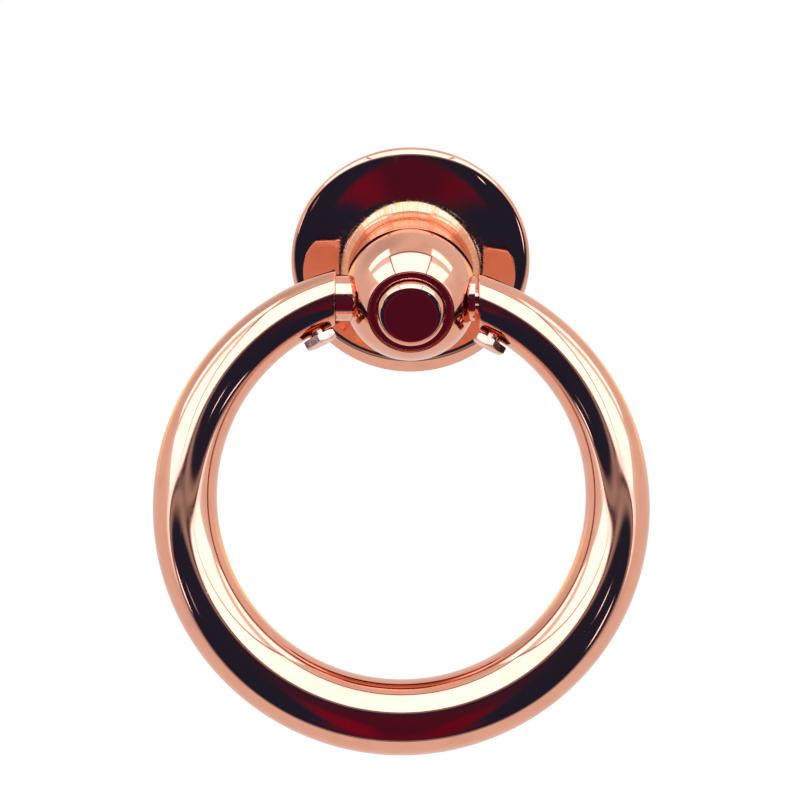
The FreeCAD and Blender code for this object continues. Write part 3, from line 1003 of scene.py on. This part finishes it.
@dataclass
class RosettePost:
    """Bell-shaped rosette, ball and front button in one turned casting, in millimetres.

    The profile is a list of points, each a radius and a height above the wall.
    """

    pivot_reach: float = 15.0
    rosette_radius: float = 16.744
    rim_edge: float = 0.62
    rim_round: float = 0.55
    rim_roll: float = 12.0
    roll_start: float = 45.0
    back_round: float = 0.25
    rim_slope: float = 12.0
    foot_slope: float = 14.5
    flare_radius: float = 3.0
    neck_radius: float = 8.3
    ball_reach: float = 13.4
    ball_radius: float = 9.3
    half_flats: float = 8.56
    flat_front: float = 18.2
    flat_back: float = 8.6
    flat_half_height: float = 5.0
    outside: float = 12.0
    recess_radius: float = 5.75
    recess_depth: float = 0.45
    recess_corner: float = 0.12
    lip_round: float = 0.15
    button_radius: float = 4.77
    button_round: float = 1.33
    button_height: float = 22.24
    bore_radius: float = 3.25
    bore_web: float = 7.0
    bore_columns: int = 96
    fixing_radius: float = 1.65
    fixing_depth: float = 10.0
    fixing_chamfer: float = 0.35
    drill_point: float = 31.0
    boss_radius: float = 5.2
    relief_depth: float = 0.4
    relief_land: float = 2.4
    columns: int = 240
    sharp: float = 18.0

    def profile(self) -> Profile:
        """The half section, from the tip of the fixing bore round to the button's middle."""
        points = self._back_points() + self._rim_points()
        points += self._bell_points()
        return points + self._ball_points(*points[-1])

    def _back_points(self) -> Profile:
        """Fixing bore, its boss, the shallow relief of the back and the back's rounded edge."""
        relief_edge = self.rosette_radius - self.relief_land
        points = [
            (0.0, self.fixing_depth + self.fixing_radius * math.tan(math.radians(self.drill_point))),
            (self.fixing_radius, self.fixing_depth),
            (self.fixing_radius, self.fixing_chamfer),
            (self.fixing_radius + self.fixing_chamfer, 0.0),
            (self.boss_radius, 0.0),
            (self.boss_radius + self.relief_depth, self.relief_depth),
            (relief_edge - self.relief_depth, self.relief_depth),
            (relief_edge, 0.0),
        ]
        edge = self.rosette_radius - self.back_round
        return points + arc(edge, self.back_round, self.back_round, -90.0, 0.0, 8)

    def _rim_points(self, steps: int = 40) -> Profile:
        """Rounding of the rim, tight at its edge and ever wider towards the bell's face."""
        radius, height = self.rosette_radius, self.rim_edge
        points = [(radius, height)]
        turn = (90.0 - self.rim_slope) / steps
        for step in range(steps):
            slope = 90.0 - turn * (step + 0.5)
            spread = max(0.0, (self.roll_start - slope) / (self.roll_start - self.rim_slope))
            size = self.rim_round + (self.rim_roll - self.rim_round) * spread**1.5
            radius -= size * math.radians(turn) * math.cos(math.radians(slope))
            height += size * math.radians(turn) * math.sin(math.radians(slope))
            points.append((radius, height))
        return points

    def _bell_points(self, steps: int = 24) -> Profile:
        """Face of the bell from the rim to its foot, the flare, and the neck up to the ball."""
        radius, height = self._rim_points()[-1]
        foot_radius = self.neck_radius + self.flare_radius * (
            1 - math.sin(math.radians(self.foot_slope))
        )
        pace = (radius - foot_radius) / steps
        points = []
        for step in range(steps):
            slope = self.rim_slope + (self.foot_slope - self.rim_slope) * (step + 0.5) / steps
            radius -= pace
            height += pace * math.tan(math.radians(slope))
            points.append((radius, height))
        middle = (
            self.neck_radius + self.flare_radius,
            height + self.flare_radius * math.cos(math.radians(self.foot_slope)),
        )
        points += arc(*middle, self.flare_radius, 270.0 - self.foot_slope, 180.0, 24)[1:]
        rise = math.sqrt(self.ball_radius**2 - self.neck_radius**2)
        return points + [(self.neck_radius, self.ball_reach - rise)]

    def _ball_points(self, neck: float, join: float) -> Profile:
        """Ball, recess and button, from where the neck meets the ball at a radius and a height."""
        first = math.degrees(math.atan2(join - self.ball_reach, neck))
        inside = self.recess_radius + self.lip_round
        last = math.degrees(math.acos(inside / self.ball_radius))
        points = arc(0.0, self.ball_reach, self.ball_radius, first, last, 64)[1:]
        lip_height = points[-1][1]
        points += arc(inside, lip_height - self.lip_round, self.lip_round, last, 180.0, 8)
        corner = self.recess_corner
        floor = lip_height - self.recess_depth
        points += arc(self.recess_radius - corner, floor + corner, corner, 0.0, -90.0, 5)
        points += arc(self.button_radius + corner, floor + corner, corner, -90.0, -180.0, 5)
        shoulder, edge = self.button_height - self.button_round, self.button_radius - self.button_round
        points += arc(edge, shoulder, self.button_round, 0.0, 90.0, 16)
        return points + [(0.0, self.button_height)]

    def build(self, material: bpy.types.Material) -> bpy.types.Object:
        """Turn the casting and cut its flats and pivot bores.

        Args:
            material: Finish of the casting.

        Returns:
            The casting's object.
        """
        blank = lathe("rosette_blank", self.profile(), self.columns, "Y")
        floor = self.bore_web / 2
        bore = [(0.0, floor), (self.bore_radius, floor), (self.bore_radius, self.outside)]
        bore.append((0.0, self.outside))
        cutters = []
        for side in Side:
            sign = side.value
            cutters.append(self._flat_cutter(sign))
            cutters.append(lathe("bore_cutter", bore, self.bore_columns, "X", sign, self.pivot_reach))
        mesh = carve(blank, cutters)
        mesh.materials.clear()
        mesh.materials.append(material)
        post = finish_mesh(mesh, "rosette_post_polished", self.sharp)
        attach(post, "base")
        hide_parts("rosette_post")
        return post

    def _flat_cutter(self, sign: int) -> bpy.types.Object:
        """Block that cuts the flat on one side of the ball, with the sign of that side's X."""
        across = (sign * self.half_flats * MM, sign * self.outside * MM)
        deep = (-self.flat_front * MM, -self.flat_back * MM)
        high = (-self.flat_half_height * MM, self.flat_half_height * MM)
        corners = [(x, y, z) for x in across for y in deep for z in high]
        faces = [(0, 1, 3, 2), (4, 6, 7, 5), (0, 4, 5, 1), (2, 3, 7, 6), (0, 2, 6, 4), (1, 5, 7, 3)]
        return closed_object("flat_cutter", corners, faces)


@dataclass
class PivotPins:
    """The two turned pins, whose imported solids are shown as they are."""

    nodes: tuple[str, str] = ("pivot_pin_left", "pivot_pin_right")

    def dress(self, finish: bpy.types.Material) -> None:
        """Give both pins their finish."""
        for node in self.nodes:
            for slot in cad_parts[node].material_slots:
                slot.material = finish
            log.info("%s: %s", node, finish.name)


# ---------------------------------------------------------------- studio


@dataclass(frozen=True)
class Panel:
    """Soft-edged patch of the studio as a polished surface sees it, in degrees and radiance.

    Attributes:
        azimuth: Middle of the patch, 0 towards the camera's side and 90 to its right.
        elevation: Middle of the patch above the horizon.
        half_width: Half its width.
        half_height: Half its height.
        soft: Width of its soft edge.
        colour: Its radiance.
        power: How square it is, 2 for an ellipse and more for a rounded rectangle.
        share: How much of what lies behind it it covers.
    """

    azimuth: float
    elevation: float
    half_width: float
    half_height: float
    soft: float
    colour: Colour
    power: float = 2.0
    share: float = 1.0

    def cover(self, tree: Tree, azimuth: Field, elevation: Field, under: Socket | Colour) -> Socket:
        """Lay the patch over a colour.

        Args:
            tree: The world's tree.
            azimuth: Azimuth of the ray in degrees.
            elevation: Elevation of the ray in degrees.
            under: Colour of what lies behind.

        Returns:
            Colour socket of the result.
        """
        aside = ((azimuth - self.azimuth) / self.half_width).math("ABSOLUTE")
        rise = ((elevation - self.elevation) / self.half_height).math("ABSOLUTE")
        away = aside.math("POWER", self.power) + rise.math("POWER", self.power)
        away = away.math("POWER", 1.0 / self.power)
        edge = self.soft / min(self.half_width, self.half_height) / 2
        return blend(tree, away.ramp(1.0 + edge, 1.0 - edge) * self.share, under, self.colour)


@dataclass(frozen=True)
class CeilingPane:
    """Pane of the soft box overhead, on a plane one unit above the handle.

    Attributes:
        right: Middle of the pane to the camera's right.
        near: Middle of the pane towards the camera.
        half_width: Half its width.
        half_depth: Half its depth.
        soft: Width of its soft edge.
        colour: Its radiance.
    """

    right: float
    near: float
    half_width: float
    half_depth: float
    soft: float
    colour: Colour

    def cover(
        self, tree: Tree, across: Field, towards: Field, above: Field, under: Socket | Colour
    ) -> Socket:
        """Lay the pane over a colour.

        Args:
            tree: The world's tree.
            across: Place of the ray on the ceiling to the right.
            towards: Place of the ray on the ceiling towards the camera.
            above: 1 where the ray goes up.
            under: Colour of what lies behind.

        Returns:
            Colour socket of the result.
        """
        aside = ((across - self.right) / self.half_width).math("ABSOLUTE")
        along = ((towards - self.near) / self.half_depth).math("ABSOLUTE")
        wide, deep = self.soft / 2 / self.half_width, self.soft / 2 / self.half_depth
        mask = aside.ramp(1 + wide, 1 - wide) * along.ramp(1 + deep, 1 - deep) * above
        return blend(tree, mask, under, self.colour)


WHITE_GLOW = (2.4, 2.7, 3.2)
SOFT_GLOW = (1.10, 1.34, 1.50)
WARM_GLOW = (1.55, 1.14, 0.42)
PALE = (0.86, 0.86, 0.86)
DOME_PANELS = (
    Panel(-135.0, 38.0, 34.0, 20.0, 26.0, (0.66, 0.66, 0.68)),
    Panel(-147.0, -22.0, 26.0, 24.0, 14.0, WARM_GLOW),
    Panel(147.0, -22.0, 26.0, 24.0, 14.0, WARM_GLOW),
    Panel(0.0, 60.0, 104.0, 38.0, 24.0, SOFT_GLOW, power=4.0),
)
CEILING_PANES = (
    CeilingPane(-1.20, 0.54, 0.66, 0.44, 0.05, WHITE_GLOW),
    CeilingPane(-1.20, -0.33, 0.66, 0.16, 0.05, WHITE_GLOW),
    CeilingPane(1.20, 0.54, 0.66, 0.44, 0.05, WHITE_GLOW),
    CeilingPane(1.20, -0.33, 0.66, 0.16, 0.05, WHITE_GLOW),
    CeilingPane(0.0, 0.50, 0.575, 0.66, 0.03, (0.35, 0.33, 0.33)),
    CeilingPane(0.0, 0.52, 0.53, 0.61, 0.03, WHITE_GLOW),
)
FRONT_PANELS = (
    Panel(0.0, -8.0, 72.0, 50.5, 9.0, WHITE_GLOW, power=2.6),
    Panel(0.0, -66.0, 180.0, 60.0, 10.0, PALE, power=8.0),
    Panel(0.0, -14.0, 78.0, 30.0, 14.0, (0.68, 0.64, 0.64), share=0.9),
    Panel(0.0, -7.0, 70.0, 47.6, 1.2, (0.05, 0.04, 0.05), power=2.5),
    Panel(0.0, -7.0, 68.8, 46.0, 1.2, (0.42, 0.42, 0.44), power=2.5),
    Panel(0.0, -7.0, 66.0, 43.5, 3.0, (0.017, 0.026, 0.070), power=2.5),
    Panel(0.0, -35.0, 24.0, 13.0, 8.0, (0.135, 0.006, 0.032), share=0.9),
    Panel(0.0, -2.0, 15.0, 32.0, 12.0, (0.085, 0.008, 0.034), share=0.9),
    Panel(-12.0, -17.0, 5.5, 24.0, 6.0, (0.19, 0.007, 0.042)),
    Panel(13.0, -16.0, 5.0, 21.0, 6.0, (0.15, 0.006, 0.034)),
    Panel(-63.0, 0.0, 1.3, 7.0, 0.8, WHITE_GLOW),
    Panel(-48.0, 8.0, 0.8, 4.0, 0.6, PALE),
    Panel(56.0, -7.0, 1.2, 8.0, 0.8, WHITE_GLOW),
    Panel(34.0, 18.0, 0.8, 3.0, 0.6, WHITE_GLOW),
)


@dataclass
class Studio:
    """Pale studio: a white floor, a big soft lamp and what the polished metal sees round it."""

    floor_drop: float = 0.30
    floor_size: float = 8.0
    floor_colour: Colour = (0.93, 0.93, 0.93)
    floor_glow: float = 0.14
    diffuse_level: float = 0.86
    horizon: float = 0.02
    lamp_power: float = 6.0
    lamp_size: float = 1.2
    lamp_place: tuple[float, float, float] = (-0.5, -0.7, 1.1)

    def build(self) -> None:
        """Build the world, the floor and the lamp."""
        self._world()
        self._floor()
        self._lamp()

    def _world(self) -> None:
        """White for the camera, even light for the floor, and the studio's panels for gloss."""
        world = bpy.data.worlds.new("studio")
        bpy.context.scene.world = world
        world.use_nodes = True
        tree = world.node_tree
        tree.nodes.clear()
        gloss = add_node(tree, "ShaderNodeBackground", {"Color": self._surroundings(tree)})
        seen = add_node(tree, "ShaderNodeBackground", {"Color": WHITE})
        plugs = {"Color": WHITE, "Strength": self.diffuse_level}
        even = add_node(tree, "ShaderNodeBackground", plugs)
        path = tree.nodes.new("ShaderNodeLightPath").outputs
        shiny = Field(tree, path["Is Glossy Ray"]).most(path["Is Transmission Ray"])
        plugs = {0: shiny, 1: even.outputs[0], 2: gloss.outputs[0]}
        lit = add_node(tree, "ShaderNodeMixShader", plugs)
        plugs = {0: path["Is Camera Ray"], 1: lit.outputs[0], 2: seen.outputs[0]}
        shown = add_node(tree, "ShaderNodeMixShader", plugs)
        add_node(tree, "ShaderNodeOutputWorld", {"Surface": shown.outputs[0]})

    def _surroundings(self, tree: Tree) -> Socket:
        """The panels and panes over a pale dome, as a polished surface sees them.

        Args:
            tree: The world's tree.

        Returns:
            Their colour socket.
        """
        x, y, z = split(tree, tree.nodes.new("ShaderNodeTexCoord").outputs["Generated"])
        azimuth = x.math("ARCTAN2", y * -1.0) * math.degrees(1.0)
        elevation = z.most(-1.0).least(1.0).math("ARCSINE") * math.degrees(1.0)
        colour = PALE
        for panel in DOME_PANELS:
            colour = panel.cover(tree, azimuth, elevation, colour)
        rise, above = z.most(self.horizon), z.above(self.horizon)
        across, towards = x / rise, (y * -1.0) / rise
        for pane in CEILING_PANES:
            colour = pane.cover(tree, across, towards, above, colour)
        for panel in FRONT_PANELS:
            colour = panel.cover(tree, azimuth, elevation, colour)
        return colour

    def _floor(self) -> None:
        """White floor well below the handle, open to a view from underneath."""
        half = self.floor_size / 2
        corners = [(-half, -half), (half, -half), (half, half), (-half, half)]
        mesh = bpy.data.meshes.new("studio_floor")
        mesh.from_pydata([(x, y, -self.floor_drop) for x, y in corners], [], [(0, 1, 2, 3)])
        floor = bpy.data.objects.new("studio_floor", mesh)
        bpy.context.scene.collection.objects.link(floor)
        material = bpy.data.materials.new("studio_floor")
        material.use_nodes = True
        tree = material.node_tree
        tree.nodes.clear()
        paint = add_node(tree, "ShaderNodeBsdfDiffuse", {"Color": (*self.floor_colour, 1.0)})
        seen = Field(tree, tree.nodes.new("ShaderNodeLightPath").outputs["Is Camera Ray"])
        glow = add_node(tree, "ShaderNodeEmission", {"Strength": seen * self.floor_glow})
        lit = add_node(tree, "ShaderNodeAddShader", {0: paint.outputs[0], 1: glow.outputs[0]})
        clear = tree.nodes.new("ShaderNodeBsdfTransparent")
        behind = tree.nodes.new("ShaderNodeNewGeometry").outputs["Backfacing"]
        plugs = {0: behind, 1: lit.outputs[0], 2: clear.outputs[0]}
        shown = add_node(tree, "ShaderNodeMixShader", plugs)
        add_node(tree, "ShaderNodeOutputMaterial", {"Surface": shown.outputs[0]})
        mesh.materials.append(material)
        floor.visible_glossy = False

    def _lamp(self) -> None:
        """Big soft lamp above and in front, which only softens the floor's shadow."""
        data = bpy.data.lights.new("soft_lamp", "AREA")
        data.shape = "SQUARE"
        data.size = self.lamp_size
        data.energy = self.lamp_power
        lamp = bpy.data.objects.new("soft_lamp", data)
        lamp.location = self.lamp_place
        lamp.rotation_mode = "QUATERNION"
        lamp.rotation_quaternion = lamp.location.to_track_quat("Z", "Y")
        lamp.visible_glossy = False
        bpy.context.scene.collection.objects.link(lamp)


@dataclass
class Viewpoint:
    """Camera of the photograph, in metres and degrees."""

    elevation: float = 22.2
    distance: float = 0.7
    frame_width: float = 0.1104
    sensor: float = 36.0
    aim: tuple[float, float, float] = (-0.001477, -0.0145, 0.0)
    lower: float = 0.014311
    clip_start: float = 0.01
    clip_end: float = 50.0

    def place(self) -> None:
        """Make the camera and set it as the scene's own."""
        tilt = math.radians(self.elevation)
        back = Vector((0.0, -math.cos(tilt), math.sin(tilt)))
        up = Vector((0.0, math.sin(tilt), math.cos(tilt)))
        data = bpy.data.cameras.new("camera")
        data.sensor_width = self.sensor
        data.lens = self.sensor * self.distance / self.frame_width
        data.clip_start = self.clip_start
        data.clip_end = self.clip_end
        camera = bpy.data.objects.new("camera", data)
        camera.location = Vector(self.aim) - up * self.lower + back * self.distance
        camera.rotation_mode = "QUATERNION"
        camera.rotation_quaternion = back.to_track_quat("Z", "Y")
        bpy.context.scene.collection.objects.link(camera)
        bpy.context.scene.camera = camera
        bpy.context.scene.view_settings.view_transform = "Standard"


def main() -> None:
    """Build the view, the studio and the handle's pieces."""
    Viewpoint().place()
    Studio().build()
    effects = Effects()
    casting = CASTING_FINISH.material(effects)
    RosettePost().build(casting)
    PivotPins().dress(PIN_FINISH.material(effects))
    ring = PullRing(RingHang())
    ring.build(RING_FINISH.material(effects))
    screw_material = SCREW_FINISH.material(effects)
    for side, turn in ((Side.LEFT, 24.0), (Side.RIGHT, 45.0)):
        ClampScrew(side, turn, ring).build(screw_material)
    FixingThread().build(casting)


if __name__ == "__main__":
    main()
